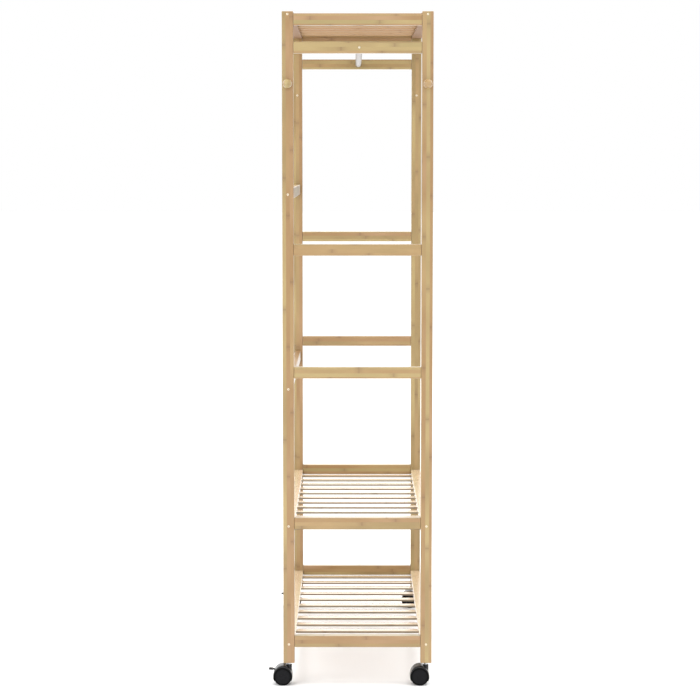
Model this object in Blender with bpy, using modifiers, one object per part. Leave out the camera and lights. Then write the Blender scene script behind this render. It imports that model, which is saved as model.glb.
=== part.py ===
"""A tall, narrow rolling rack of bamboo: two end frames, slatted shelves, a hanging rod, pegs and four casters.

Z is up and the floor is at z = 0. Y runs along the rack, from its left end frame to its right one.
The back of the rack, with its two back rails and the braked casters, is at -X. All sizes are in metres.
"""

import math

import bmesh
import bpy
from mathutils import Matrix

# Overall sizes
RACK_LENGTH = 0.800  # outer face to outer face of the end frames
RACK_DEPTH = 0.332  # outer side to outer side of the posts
POST_LENGTH = 1.448

# End frames
POST_WIDTH = 0.025  # along X
FRAME_THICKNESS = 0.020  # posts and rungs, along Y
RUNG_HEIGHT = 0.0252
APRON_DROP = 0.0056  # post top to the top of the uppermost rung
ROD_DROP = 0.0785  # post top to the rod's centre line
LOWER_SHELF_RISE = 0.0362  # post foot to the underside of a rung
UPPER_SHELF_RISE = 0.3039
LOWER_TIE_RISE = 0.6417
UPPER_TIE_RISE = 0.9140

# Long rails
SIDE_RAIL_THICKNESS = 0.0125  # they are as wide as the posts
BACK_RAIL_HEIGHT = 0.025
BACK_RAIL_THICKNESS = 0.014
BACK_RAIL_RISES = {"lower": 0.6051, "upper": 1.0361}  # post foot to a back rail's underside

# Slats
SLAT_COUNT = 12
SLAT_WIDTH = 0.025
SLAT_THICKNESS = 0.0045
SLAT_INSET = 0.005  # a lower slat's end to the outer side of the rail above it
GROOVE_DEPTH = 0.006  # in the top rails' inner sides, for the slats' ends
GROOVE_DROP = 0.0027  # rail top to the groove's upper side

# Hanging rod
ROD_DIAMETER = 0.015
ROD_WALL = 0.0012
ROD_OFFSET = 0.0035  # towards the front, from the middle of the rung
PLUG_LENGTH = 0.020
SCREW_DIAMETER = 0.0035
SCREW_HEAD_DIAMETER = 0.0055
SCREW_HEAD_HEIGHT = 0.0022
SCREW_LENGTH = 0.034

# Pegs
PEG_DROP = 0.158  # post top to the peg's centre line
PEG_BALL_DIAMETER = 0.020
PEG_NECK_DIAMETER = 0.011
PEG_REACH = 0.026  # from the post's face

# Casters
WHEEL_DIAMETER = 0.040
WHEEL_WIDTH = 0.010
WHEEL_CAP = 0.0015  # what closes the outer end of the axle's bore
WHEEL_CHAMFER = 0.0012
AXLE_DIAMETER = 0.006
CASTER_TRAIL = 0.014  # swivel axis to wheel axis
WEB_THICKNESS = 0.013  # the middle wall between the two wheels
HOOD_GAP = 0.0005  # wheel to hood
HOOD_WALL = 0.0013  # at the front and back of the wheels
HOOD_CROWN_WALL = 0.005  # over the wheels
HOOD_END_DROP = 0.0095  # wheel axis to the hood's lower ends
HOUSING_RADIUS = 0.0062
STEM_DIAMETER = 0.008
STEM_IN_POST = 0.036
STEM_IN_HOUSING = 0.020
STEM_SHOWING = 0.0047  # top of the housing to the post's foot
COLLAR_DIAMETER = 0.012
COLLAR_HEIGHT = 0.0014

# Brake levers
LEVER_PIVOT_INSET = 0.0016  # the wheel's rim to the pivot, which sits half way up the back
LEVER_OVERHANG = 0.0097  # back of the hood to the pedal's tip
LEVER_THICKNESS = 0.003
LEVER_CROWN = 0.0024  # how far the pedal rises above its pivot
TONGUE_WIDTH = 0.006
TONGUE_LAP = 0.002  # the tongue's end inside the pedal
PEDAL_WIDTH = 0.018
PEDAL_GAP = 0.0018  # the hood to the pedal, at the pivot's height
EYE_RADIUS = 0.003
BRAKE_PIN_DIAMETER = 0.0025

CLEARANCE = 0.0003
EDGE_ROUND = 0.0012
EDGE_STEPS = 2
SMOOTH_ANGLE = 35.0
WELD_DISTANCE = 0.00001

# Straight runs in each round line
WHEEL_STEPS = 32
ROUND_STEPS = 20
ARCH_STEPS = 28  # inside the hood
LIP_STEPS = 2  # the hood below the wheel axis
BALL_STEPS = 8
ARM_STEPS = 4
PEDAL_STEPS = 5

# What follows from the sizes above
WHEEL_RADIUS = WHEEL_DIAMETER / 2
HOOD_SIDE = WHEEL_RADIUS + HOOD_GAP + HOOD_WALL  # wheel axis to the hood's front and back
HOOD_CROWN = WHEEL_RADIUS + HOOD_GAP + HOOD_CROWN_WALL  # wheel axis to the top of the hood
FOOT = WHEEL_RADIUS + HOOD_CROWN + STEM_SHOWING
POST_TOP = FOOT + POST_LENGTH
POST_X = (RACK_DEPTH - POST_WIDTH) / 2
FRAME_Y = (RACK_LENGTH - FRAME_THICKNESS) / 2
RAIL_INNER = RACK_DEPTH / 2 - POST_WIDTH  # middle of the rack to a side or top rail's inner side
BAY_HALF = RACK_LENGTH / 2 - FRAME_THICKNESS  # middle of the rack to a rung's inner face
HOOD_HALF_WIDTH = WEB_THICKNESS / 2 + CLEARANCE + WHEEL_WIDTH + CLEARANCE
LEVER_PIVOT = (WHEEL_RADIUS - LEVER_PIVOT_INSET) * math.sqrt(0.5)  # behind and above the wheel axis
LEVER_LENGTH = HOOD_SIDE + LEVER_OVERHANG - LEVER_PIVOT  # pivot to the pedal's tip
PEDAL_START = HOOD_SIDE * math.sqrt(1 - (LEVER_PIVOT / HOOD_CROWN) ** 2) + PEDAL_GAP - LEVER_PIVOT
FRONT_REACH = max(RACK_DEPTH / 2, POST_X - CASTER_TRAIL + HOOD_SIDE)
BACK_REACH = POST_X + CASTER_TRAIL + HOOD_SIDE + LEVER_OVERHANG
FRAME_X = (BACK_REACH - FRONT_REACH) / 2  # sets the origin under the middle of the whole outline

ENDS = {"left": -1, "right": 1}
SIDES = {"back": -1, "front": 1}


def clear_scene():
    for old in list(bpy.data.objects):
        bpy.data.objects.remove(old, do_unlink=True)


def new_collection(name):
    collection = bpy.data.collections.new(name)
    bpy.context.scene.collection.children.link(collection)
    return collection


def new_material(name, colour, roughness, metallic=0.0):
    material = bpy.data.materials.new(name)
    material.use_nodes = True
    shader = material.node_tree.nodes["Principled BSDF"]
    shader.inputs["Base Color"].default_value = (*colour, 1.0)
    shader.inputs["Roughness"].default_value = roughness
    shader.inputs["Metallic"].default_value = metallic
    return material


def new_anchor(name, place, parent=None):
    anchor = bpy.data.objects.new(name, None)
    anchor.location = place
    anchor.parent = parent
    parts.objects.link(anchor)
    return anchor


def add_piece(name, shape, material, place, parent):
    """Turns the bmesh into an object of the rack."""
    mesh = bpy.data.meshes.new(name)
    shape.to_mesh(mesh)
    shape.free()
    mesh.materials.append(material)
    piece = bpy.data.objects.new(name, mesh)
    piece.location = place
    piece.parent = parent
    parts.objects.link(piece)
    return piece


def make_helper(piece):
    """Takes the piece out of the rack, for use by a Boolean."""
    parts.objects.unlink(piece)
    cutters.objects.link(piece)
    piece.hide_render = True
    piece.display_type = "WIRE"
    return piece


def combine(piece, helper, operation):
    modifier = piece.modifiers.new(operation.title(), "BOOLEAN")
    modifier.operation = operation
    modifier.object = make_helper(helper)


def round_edges(piece, width=EDGE_ROUND):
    modifier = piece.modifiers.new("Round edges", "BEVEL")
    modifier.width = width
    modifier.segments = EDGE_STEPS
    modifier.limit_method = "ANGLE"


def smooth(piece):
    piece.data.shade_smooth()
    piece.data.set_sharp_from_angle(angle=math.radians(SMOOTH_ANGLE))


def box_shape(size):
    shape = bmesh.new()
    bmesh.ops.create_cube(shape, size=1.0)
    bmesh.ops.scale(shape, vec=size, verts=shape.verts)
    return shape


def cylinder_shape(radius, height, along="Z"):
    shape = bmesh.new()
    bmesh.ops.create_cone(
        shape, cap_ends=True, segments=ROUND_STEPS, radius1=radius, radius2=radius, depth=height
    )
    if along == "Y":
        bmesh.ops.rotate(shape, verts=shape.verts, matrix=Matrix.Rotation(math.pi / 2, 3, "X"))
    return shape


def outline_shape(loops, thickness, across="Z"):
    """A flat shape with these loops as its outline and holes. Across Y, the loops are in X and Z."""
    curve = bpy.data.curves.new("outline", "CURVE")
    curve.dimensions = "2D"
    curve.fill_mode = "BOTH"
    curve.extrude = thickness / 2
    for loop in loops:
        spline = curve.splines.new("POLY")
        spline.points.add(len(loop) - 1)
        for point, (u, v) in zip(spline.points, loop):
            point.co = (u, v, 0.0, 1.0)
        spline.use_cyclic_u = True
    outline = bpy.data.objects.new("outline", curve)
    cutters.objects.link(outline)
    graph = bpy.context.evaluated_depsgraph_get()
    mesh = bpy.data.meshes.new_from_object(outline.evaluated_get(graph))
    shape = bmesh.new()
    shape.from_mesh(mesh)
    bmesh.ops.remove_doubles(shape, verts=shape.verts, dist=WELD_DISTANCE)
    if across == "Y":
        bmesh.ops.rotate(shape, verts=shape.verts, matrix=Matrix.Rotation(math.pi / 2, 3, "X"))
    bmesh.ops.recalc_face_normals(shape, faces=shape.faces)
    bpy.data.objects.remove(outline)
    bpy.data.meshes.remove(mesh)
    return shape


def rectangle(u_low, v_low, u_high, v_high):
    return [(u_low, v_low), (u_high, v_low), (u_high, v_high), (u_low, v_high)]


def arc(radius_u, radius_v, start, end, steps):
    """Points of an ellipse round the origin, from one angle in degrees to another."""
    angles = [math.radians(start + (end - start) * i / steps) for i in range(steps + 1)]
    return [(radius_u * math.cos(a), radius_v * math.sin(a)) for a in angles]


def add_turned(name, profile, material, place, parent, steps=ROUND_STEPS, ring=False, outward=None):
    """Turns a profile of radius and height, given down its outer side, about an axis.

    The axis is Z, or points along Y: outward is -1 or 1 where the height runs to the left or right.
    """
    shape = bmesh.new()
    points = [shape.verts.new((radius, 0.0, height)) for radius, height in profile]
    for first, second in zip(points, points[1:] + points[:1] if ring else points[1:]):
        shape.edges.new((first, second))
    piece = add_piece(name, shape, material, place, parent)
    if outward:
        piece.rotation_euler = (-outward * math.pi / 2, 0.0, 0.0)
    modifier = piece.modifiers.new("Turn", "SCREW")
    modifier.axis = "Z"
    modifier.steps = steps
    modifier.render_steps = steps
    modifier.use_merge_vertices = True
    modifier.merge_threshold = WELD_DISTANCE
    modifier.use_smooth_shade = True
    return piece


def add_board(name, size, place, material):
    board = add_piece(name, box_shape(size), material, place, rack)
    round_edges(board)
    return board


def rung_heights():
    """Each rung's name and the height of its middle."""
    half = RUNG_HEIGHT / 2
    return {
        "apron": POST_TOP - APRON_DROP - half,
        "rod_rung": POST_TOP - ROD_DROP,
        "upper_tie": FOOT + UPPER_TIE_RISE + half,
        "lower_tie": FOOT + LOWER_TIE_RISE + half,
        "upper_shelf_rung": FOOT + UPPER_SHELF_RISE + half,
        "lower_shelf_rung": FOOT + LOWER_SHELF_RISE + half,
    }


def add_posts():
    for end, way in ENDS.items():
        for side, facing in SIDES.items():
            place = (facing * POST_X, way * FRAME_Y, FOOT + POST_LENGTH / 2)
            post = add_board(f"post_{side}_{end}", (POST_WIDTH, FRAME_THICKNESS, POST_LENGTH), place, bamboo)
            depth = STEM_IN_POST + CLEARANCE
            # The cutter starts below the foot, so the bore's mouth is open.
            bore = cylinder_shape(STEM_DIAMETER / 2 + CLEARANCE, 2 * depth)
            cutter = add_piece("stem_bore", bore, bamboo, (place[0], place[1], FOOT), rack)
            combine(post, cutter, "DIFFERENCE")


def add_rungs():
    size = (RACK_DEPTH - 2 * (POST_WIDTH + CLEARANCE), FRAME_THICKNESS, RUNG_HEIGHT)
    for end, way in ENDS.items():
        for kind, height in rung_heights().items():
            rung = add_board(f"{end}_{kind}", size, (0.0, way * FRAME_Y, height), bamboo)
            if kind == "rod_rung":
                place = (ROD_OFFSET, way * RACK_LENGTH / 2, height)
                # The cutter runs out past the inner face, as the screw does.
                cutter = add_turned(
                    "screw_bore", screw_profile(CLEARANCE), bamboo, place, rack, outward=way
                )
                combine(rung, cutter, "DIFFERENCE")


def screw_profile(extra):
    """Down from the head's flat face: the head with its countersink, and then the shank."""
    head = SCREW_HEAD_DIAMETER / 2 + extra
    shank = SCREW_DIAMETER / 2 + extra
    return [
        (0.0, extra),
        (head, extra),
        (head, -SCREW_HEAD_HEIGHT / 4 - extra),
        (shank, -SCREW_HEAD_HEIGHT - extra),
        (shank, -SCREW_LENGTH - extra),
        (0.0, -SCREW_LENGTH - extra),
    ]


def add_rod():
    bay = BAY_HALF - CLEARANCE
    outer = ROD_DIAMETER / 2
    inner = outer - ROD_WALL
    height = rung_heights()["rod_rung"]
    tube = [(outer, bay), (outer, -bay), (inner, -bay), (inner, bay)]
    add_turned("hanging_rod", tube, steel, (ROD_OFFSET, 0.0, height), rack, ring=True, outward=1)
    plug_radius = inner - CLEARANCE
    pilot = SCREW_DIAMETER / 2 + CLEARANCE
    plug = [(plug_radius, 0.0), (plug_radius, -PLUG_LENGTH), (pilot, -PLUG_LENGTH), (pilot, 0.0)]
    for end, way in ENDS.items():
        place = (ROD_OFFSET, way * bay, height)
        add_turned(f"rod_plug_{end}", plug, plastic, place, rack, ring=True, outward=way)
        place = (ROD_OFFSET, way * RACK_LENGTH / 2, height)
        add_turned(f"rod_screw_{end}", screw_profile(0.0), steel, place, rack, outward=way)


def add_rails():
    length = 2 * (BAY_HALF - CLEARANCE)
    shelves = {"lower_shelf": LOWER_SHELF_RISE, "upper_shelf": UPPER_SHELF_RISE}
    for side, facing in SIDES.items():
        for shelf, rise in shelves.items():
            place = (facing * POST_X, 0.0, FOOT + rise + SIDE_RAIL_THICKNESS / 2)
            add_board(f"{shelf}_rail_{side}", (POST_WIDTH, length, SIDE_RAIL_THICKNESS), place, bamboo)
        add_top_rail(side, facing, length)
    for level, rise in BACK_RAIL_RISES.items():
        place = (-POST_X, 0.0, FOOT + rise + BACK_RAIL_HEIGHT / 2)
        add_board(f"back_rail_{level}", (BACK_RAIL_THICKNESS, length, BACK_RAIL_HEIGHT), place, bamboo)


def add_top_rail(side, facing, length):
    """A flat rail with a groove along its inner side, where the slats' ends sit."""
    half = POST_WIDTH / 2
    groove_top = -GROOVE_DROP
    groove_bottom = groove_top - SLAT_THICKNESS - 2 * CLEARANCE
    section = [
        (-half, 0.0),
        (-half, groove_top),
        (-half + GROOVE_DEPTH, groove_top),
        (-half + GROOVE_DEPTH, groove_bottom),
        (-half, groove_bottom),
        (-half, -SIDE_RAIL_THICKNESS),
        (half, -SIDE_RAIL_THICKNESS),
        (half, 0.0),
    ]
    section = [(facing * u, v) for u, v in section]
    shape = outline_shape([section], length, across="Y")
    rail = add_piece(f"top_rail_{side}", shape, bamboo, (facing * POST_X, 0.0, POST_TOP), rack)
    round_edges(rail, EDGE_ROUND / 2)


def slat_places():
    """The middle of each slat along Y: the first and last lie against the rungs."""
    first = -BAY_HALF + CLEARANCE + SLAT_WIDTH / 2
    pitch = -2 * first / (SLAT_COUNT - 1)
    return [first + i * pitch for i in range(SLAT_COUNT)]


def add_slats(name, half_length, top):
    """Twelve slats across the rack, joined end to end by a strip hidden in or under each rail."""
    places = slat_places()
    half = SLAT_WIDTH / 2
    gap_end = RAIL_INNER - CLEARANCE
    loops = [rectangle(-half_length, places[0] - half, half_length, places[-1] + half)]
    for here, beyond in zip(places, places[1:]):
        loops.append(rectangle(-gap_end, here + half, gap_end, beyond - half))
    shape = outline_shape(loops, SLAT_THICKNESS)
    add_piece(name, shape, slat_bamboo, (0.0, 0.0, top - SLAT_THICKNESS / 2), rack)


def add_shelves():
    under = RACK_DEPTH / 2 - SLAT_INSET
    for shelf, rise in {"lower_shelf": LOWER_SHELF_RISE, "upper_shelf": UPPER_SHELF_RISE}.items():
        add_slats(f"{shelf}_slats", under, FOOT + rise - CLEARANCE)
    top = POST_TOP - GROOVE_DROP - CLEARANCE
    add_slats("top_shelf_slats", RAIL_INNER + GROOVE_DEPTH - CLEARANCE, top)


def add_pegs():
    ball = PEG_BALL_DIAMETER / 2
    neck = PEG_NECK_DIAMETER / 2
    centre = PEG_REACH - ball
    join = math.degrees(math.asin(neck / ball)) - 90.0
    # Down the ball from its tip to where the neck meets it.
    profile = [(u, centre + v) for u, v in arc(ball, ball, 90.0, join, BALL_STEPS)]
    profile[0] = (0.0, PEG_REACH)  # exactly on the axis
    profile += [(neck, CLEARANCE), (0.0, CLEARANCE)]
    for end, way in ENDS.items():
        for side, facing in SIDES.items():
            place = (facing * POST_X, way * RACK_LENGTH / 2, POST_TOP - PEG_DROP)
            add_turned(f"peg_{side}_{end}", profile, bamboo, place, rack, outward=way)


def hood_curve(inset):
    """The hood's outer line in X and Z round the wheel axis: a crown above it, and a circle below."""
    side = HOOD_SIDE - inset
    crown = HOOD_CROWN - inset
    dip = math.degrees(math.asin((HOOD_END_DROP - inset) / side))
    lower = arc(side, side, -dip, 0.0, LIP_STEPS)
    upper = arc(side, crown, 0.0, 180.0, ROUND_STEPS)
    return lower[:-1] + upper + [(-u, v) for u, v in reversed(lower[:-1])]


def hood_shape_parts(name, swivel):
    """The web between the wheels, the hood over both and the stem's housing, as separate pieces."""
    axis = (-CASTER_TRAIL, 0.0, WHEEL_RADIUS)
    web = outline_shape([hood_curve(HOOD_WALL / 2)], WEB_THICKNESS, across="Y")
    web = add_piece(name, web, plastic, axis, swivel)
    inner = WHEEL_RADIUS + HOOD_GAP
    dip = math.degrees(math.asin(HOOD_END_DROP / inner))
    band = hood_curve(0.0) + arc(inner, inner, 180.0 + dip, -dip, ARCH_STEPS)
    band = outline_shape([band], 2 * HOOD_HALF_WIDTH, across="Y")
    band = add_piece("hood_band", band, plastic, axis, swivel)
    height = HOOD_CROWN
    housing = cylinder_shape(HOUSING_RADIUS, height)
    place = (0.0, 0.0, WHEEL_RADIUS + height / 2)
    housing = add_piece("stem_housing", housing, plastic, place, swivel)
    return web, band, housing


def add_hood(name, swivel, braked):
    web, band, housing = hood_shape_parts(name, swivel)
    combine(web, band, "UNION")
    combine(web, housing, "UNION")
    depth = STEM_IN_HOUSING + CLEARANCE
    bore = cylinder_shape(STEM_DIAMETER / 2 + CLEARANCE, 2 * depth)
    top = WHEEL_RADIUS + HOOD_CROWN
    combine(web, add_piece("stem_socket", bore, plastic, (0.0, 0.0, top), swivel), "DIFFERENCE")
    bore = cylinder_shape(AXLE_DIAMETER / 2 + CLEARANCE, 2 * WEB_THICKNESS, along="Y")
    place = (-CASTER_TRAIL, 0.0, WHEEL_RADIUS)
    combine(web, add_piece("axle_bore", bore, plastic, place, swivel), "DIFFERENCE")
    if braked:
        cut_brake_slot(web, swivel)


def lever_pivot():
    return (-CASTER_TRAIL - LEVER_PIVOT, 0.0, WHEEL_RADIUS + LEVER_PIVOT)


def cut_brake_slot(web, swivel):
    """A slot in the web for the lever's tongue, open to the back, and a bore for its pin."""
    x, y, z = lever_pivot()
    room = EYE_RADIUS + 3 * CLEARANCE
    slot = box_shape((LEVER_LENGTH, TONGUE_WIDTH + 2 * CLEARANCE, 2 * room))
    place = (x + room - LEVER_LENGTH / 2, y, z)
    combine(web, add_piece("tongue_slot", slot, plastic, place, swivel), "DIFFERENCE")
    bore = cylinder_shape(BRAKE_PIN_DIAMETER / 2 + CLEARANCE, 2 * WEB_THICKNESS, along="Y")
    combine(web, add_piece("pin_bore", bore, plastic, (x, y, z), swivel), "DIFFERENCE")


def pedal_curve(start, end, steps):
    """The middle line of the lever's side view, from the pivot out: it rises and levels off."""
    points = []
    for i in range(steps + 1):
        u = start + (end - start) * i / steps
        points.append((-u, LEVER_CROWN * (1.0 - (1.0 - u / LEVER_LENGTH) ** 2)))
    return points


def lever_outline(start, end, steps):
    half = LEVER_THICKNESS / 2
    line = pedal_curve(start, end, steps)
    return [(u, v + half) for u, v in line] + [(u, v - half) for u, v in reversed(line)]


def add_brake_lever(name, pin_name, swivel):
    pivot = lever_pivot()
    eye = arc(EYE_RADIUS, EYE_RADIUS, 0.0, 360.0, ROUND_STEPS)[:-1]
    lever = outline_shape([eye], TONGUE_WIDTH, across="Y")
    lever = add_piece(name, lever, plastic, pivot, swivel)
    arm_end = PEDAL_START + TONGUE_LAP
    arm = outline_shape([lever_outline(0.0, arm_end, ARM_STEPS)], TONGUE_WIDTH - CLEARANCE, across="Y")
    combine(lever, add_piece("lever_arm", arm, plastic, pivot, swivel), "UNION")
    pedal = outline_shape([lever_outline(PEDAL_START, LEVER_LENGTH, PEDAL_STEPS)], PEDAL_WIDTH, across="Y")
    combine(lever, add_piece("lever_pedal", pedal, plastic, pivot, swivel), "UNION")
    bore = cylinder_shape(BRAKE_PIN_DIAMETER / 2 + CLEARANCE, 2 * TONGUE_WIDTH, along="Y")
    combine(lever, add_piece("lever_bore", bore, plastic, pivot, swivel), "DIFFERENCE")
    pin = cylinder_shape(BRAKE_PIN_DIAMETER / 2, WEB_THICKNESS - 2 * CLEARANCE, along="Y")
    smooth(add_piece(pin_name, pin, steel, pivot, swivel))


def add_wheels(caster, swivel):
    axis = (-CASTER_TRAIL, 0.0, WHEEL_RADIUS)
    bore = AXLE_DIAMETER / 2 + CLEARANCE
    rim = WHEEL_RADIUS - WHEEL_CHAMFER
    profile = [
        (0.0, WHEEL_WIDTH),
        (rim, WHEEL_WIDTH),
        (WHEEL_RADIUS, WHEEL_WIDTH - WHEEL_CHAMFER),
        (WHEEL_RADIUS, WHEEL_CHAMFER),
        (rim, 0.0),
        (bore, 0.0),
        (bore, WHEEL_WIDTH - WHEEL_CAP),
        (0.0, WHEEL_WIDTH - WHEEL_CAP),
    ]
    inner_face = WEB_THICKNESS / 2 + CLEARANCE
    for end, way in ENDS.items():
        place = (axis[0], way * inner_face, axis[2])
        add_turned(f"{caster}_wheel_{end}", profile, rubber, place, swivel, WHEEL_STEPS, outward=way)
    length = 2 * (inner_face + WHEEL_WIDTH - WHEEL_CAP - CLEARANCE)
    smooth(add_piece(f"{caster}_axle", cylinder_shape(AXLE_DIAMETER / 2, length, "Y"), steel, axis, swivel))


def add_stem(name, swivel):
    radius = STEM_DIAMETER / 2
    collar_top = FOOT - CLEARANCE
    top = FOOT + STEM_IN_POST
    bottom = WHEEL_RADIUS + HOOD_CROWN - STEM_IN_HOUSING
    profile = [
        (0.0, top),
        (radius, top),
        (radius, collar_top),
        (COLLAR_DIAMETER / 2, collar_top),
        (COLLAR_DIAMETER / 2, collar_top - COLLAR_HEIGHT),
        (radius, collar_top - COLLAR_HEIGHT),
        (radius, bottom),
        (0.0, bottom),
    ]
    add_turned(name, profile, steel, (0.0, 0.0, 0.0), swivel)


def add_casters():
    for end, way in ENDS.items():
        for side, facing in SIDES.items():
            caster = f"caster_{side}_{end}"
            swivel = new_anchor(f"{caster}_swivel", (facing * POST_X, way * FRAME_Y, 0.0), rack)
            braked = side == "back"
            add_stem(f"{caster}_stem", swivel)
            add_hood(f"{caster}_hood", swivel, braked)
            add_wheels(caster, swivel)
            if braked:
                add_brake_lever(f"brake_lever_{end}", f"brake_pin_{end}", swivel)


clear_scene()
parts = new_collection("rolling_rack")
cutters = new_collection("cutters")
bamboo = new_material("bamboo", (0.57, 0.39, 0.20), 0.45)
slat_bamboo = new_material("slat_bamboo", (0.66, 0.50, 0.32), 0.45)
steel = new_material("steel", (0.72, 0.73, 0.75), 0.25, 1.0)
plastic = new_material("black_nylon", (0.012, 0.012, 0.013), 0.35)
rubber = new_material("wheel_nylon", (0.022, 0.022, 0.023), 0.5)
rack = new_anchor("rack", (FRAME_X, 0.0, 0.0))
add_posts()
add_rungs()
add_rails()
add_shelves()
add_rod()
add_pegs()
add_casters()
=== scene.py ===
import math

import bmesh
import bpy
import numpy as np
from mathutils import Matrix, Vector


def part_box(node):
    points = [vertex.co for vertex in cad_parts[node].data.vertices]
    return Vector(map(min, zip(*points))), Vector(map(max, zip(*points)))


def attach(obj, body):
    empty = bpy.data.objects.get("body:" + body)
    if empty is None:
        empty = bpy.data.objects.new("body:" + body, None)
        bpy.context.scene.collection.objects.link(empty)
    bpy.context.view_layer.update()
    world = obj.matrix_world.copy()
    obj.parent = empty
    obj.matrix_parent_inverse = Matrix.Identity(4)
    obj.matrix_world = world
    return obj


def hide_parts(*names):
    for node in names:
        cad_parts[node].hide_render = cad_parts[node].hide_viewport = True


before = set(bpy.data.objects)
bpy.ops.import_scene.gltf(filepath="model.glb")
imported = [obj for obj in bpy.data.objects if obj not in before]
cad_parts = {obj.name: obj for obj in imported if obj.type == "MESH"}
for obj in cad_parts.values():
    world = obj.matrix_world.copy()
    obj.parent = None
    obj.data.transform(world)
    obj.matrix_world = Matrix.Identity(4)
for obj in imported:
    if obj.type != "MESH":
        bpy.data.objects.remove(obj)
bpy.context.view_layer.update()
bpy.context.scene.view_settings.view_transform = "Standard"

mm = 0.001
ends = {"left": -1, "right": 1}
sides = {"back": -1, "front": 1}
casters = [f"caster_{side}_{end}" for end in ends for side in sides]
print("frame loaded:", len(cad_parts), "nodes")


# One socket of a shader tree. An operator adds a Math node; before + and * there can also be a number.
class Wire:
    def __init__(self, finish, socket):
        self.finish = finish
        self.socket = socket

    def math(self, operation, *terms):
        return self.finish.node("ShaderNodeMath", {"operation": operation}, terms)

    def __add__(self, other):
        return self.math("ADD", self, other)

    def __radd__(self, other):
        return self.math("ADD", other, self)

    def __sub__(self, other):
        return self.math("SUBTRACT", self, other)

    def __mul__(self, other):
        return self.math("MULTIPLY", self, other)

    def __rmul__(self, other):
        return self.math("MULTIPLY", other, self)

    def __truediv__(self, other):
        return self.math("DIVIDE", self, other)

    def __abs__(self):
        return self.math("ABSOLUTE", self)

    def floor(self):
        return self.math("FLOOR", self)

    def fraction(self):
        return self.math("FRACT", self)

    # 0 below low, 1 above high, and a smooth step between; high under low turns it round.
    def step(self, low, high):
        settings = {"interpolation_type": "SMOOTHSTEP"}
        if low < high:
            return self.finish.node("ShaderNodeMapRange", settings, (self, low, high, 0.0, 1.0))
        return self.finish.node("ShaderNodeMapRange", settings, (self, high, low, 1.0, 0.0))


# What a material and the world have in common: the one method that adds a node, and its short forms.
class Tree:
    def join(self, socket, value):
        if isinstance(value, Wire):
            self.tree.links.new(value.socket, socket)
        elif value is not None:
            socket.default_value = value

    def node(self, kind, settings=None, values=(), output=0):
        made = self.tree.nodes.new(kind)
        for key, value in (settings or {}).items():
            if key == "stops":
                self.setStops(made.color_ramp, value)
            else:
                setattr(made, key, value)
        pairs = values.items() if isinstance(values, dict) else enumerate(values)
        for key, value in pairs:
            self.join(made.inputs[key], value)
        return Wire(self, made.outputs[output])

    def setStops(self, ramp, stops):
        for _ in stops[2:]:
            ramp.elements.new(0.5)
        for element, (place, colour) in zip(ramp.elements, stops):
            element.position = place
            element.color = (*colour, 1.0)

    def place(self):
        spot = self.node("ShaderNodeTexCoord", output="Object")
        return [self.node("ShaderNodeSeparateXYZ", None, (spot,), i) for i in range(3)]

    def vector(self, x, y, z):
        return self.node("ShaderNodeCombineXYZ", None, (x, y, z))

    def noise(self, spot, scale=1.0, detail=2.0, roughness=0.5):
        values = {"Vector": spot, "Scale": scale, "Detail": detail, "Roughness": roughness}
        return self.node("ShaderNodeTexNoise", {"noise_dimensions": "3D"}, values, "Fac")

    def hashed(self, spot):
        return self.node("ShaderNodeTexWhiteNoise", {"noise_dimensions": "3D"}, {"Vector": spot}, "Value")

    def blend(self, factor, first, second):
        settings = {"data_type": "RGBA", "blend_type": "MIX", "clamp_factor": True}
        values = {0: factor, 6: colourOf(first), 7: colourOf(second)}
        return self.node("ShaderNodeMix", settings, values, 2)

    def bump(self, height, strength, distance):
        values = {"Height": height, "Strength": strength, "Distance": distance}
        return self.node("ShaderNodeBump", None, values, "Normal")


# One material, with its Principled shader.
class Finish(Tree):
    def __init__(self, name, **fixed):
        self.material = bpy.data.materials.new(name)
        self.material.use_nodes = True
        self.tree = self.material.node_tree
        self.shader = self.tree.nodes["Principled BSDF"]
        for socket, value in fixed.items():
            self.shader.inputs[socket.replace("_", " ")].default_value = value

    def set(self, **wires):
        for socket, wire in wires.items():
            self.join(self.shader.inputs[socket.replace("_", " ")], wire)
        return self.material


# The walls and light all round: the same methods on the world's tree.
class Studio(Tree):
    def __init__(self, name):
        self.world = bpy.data.worlds.new(name)
        self.world.use_nodes = True
        self.tree = self.world.node_tree
        self.tree.nodes.remove(self.tree.nodes["Background"])


def colourOf(value):
    return value if isinstance(value, Wire) else (*value, 1.0)


# A colour as a screen shows it, in 0 to 255, turned into the linear values that a shader takes.
def screen(red, green, blue):
    shares = [value / 255 for value in (red, green, blue)]
    return tuple(s / 12.92 if s <= 0.04045 else ((s + 0.055) / 1.055) ** 2.4 for s in shares)


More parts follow.
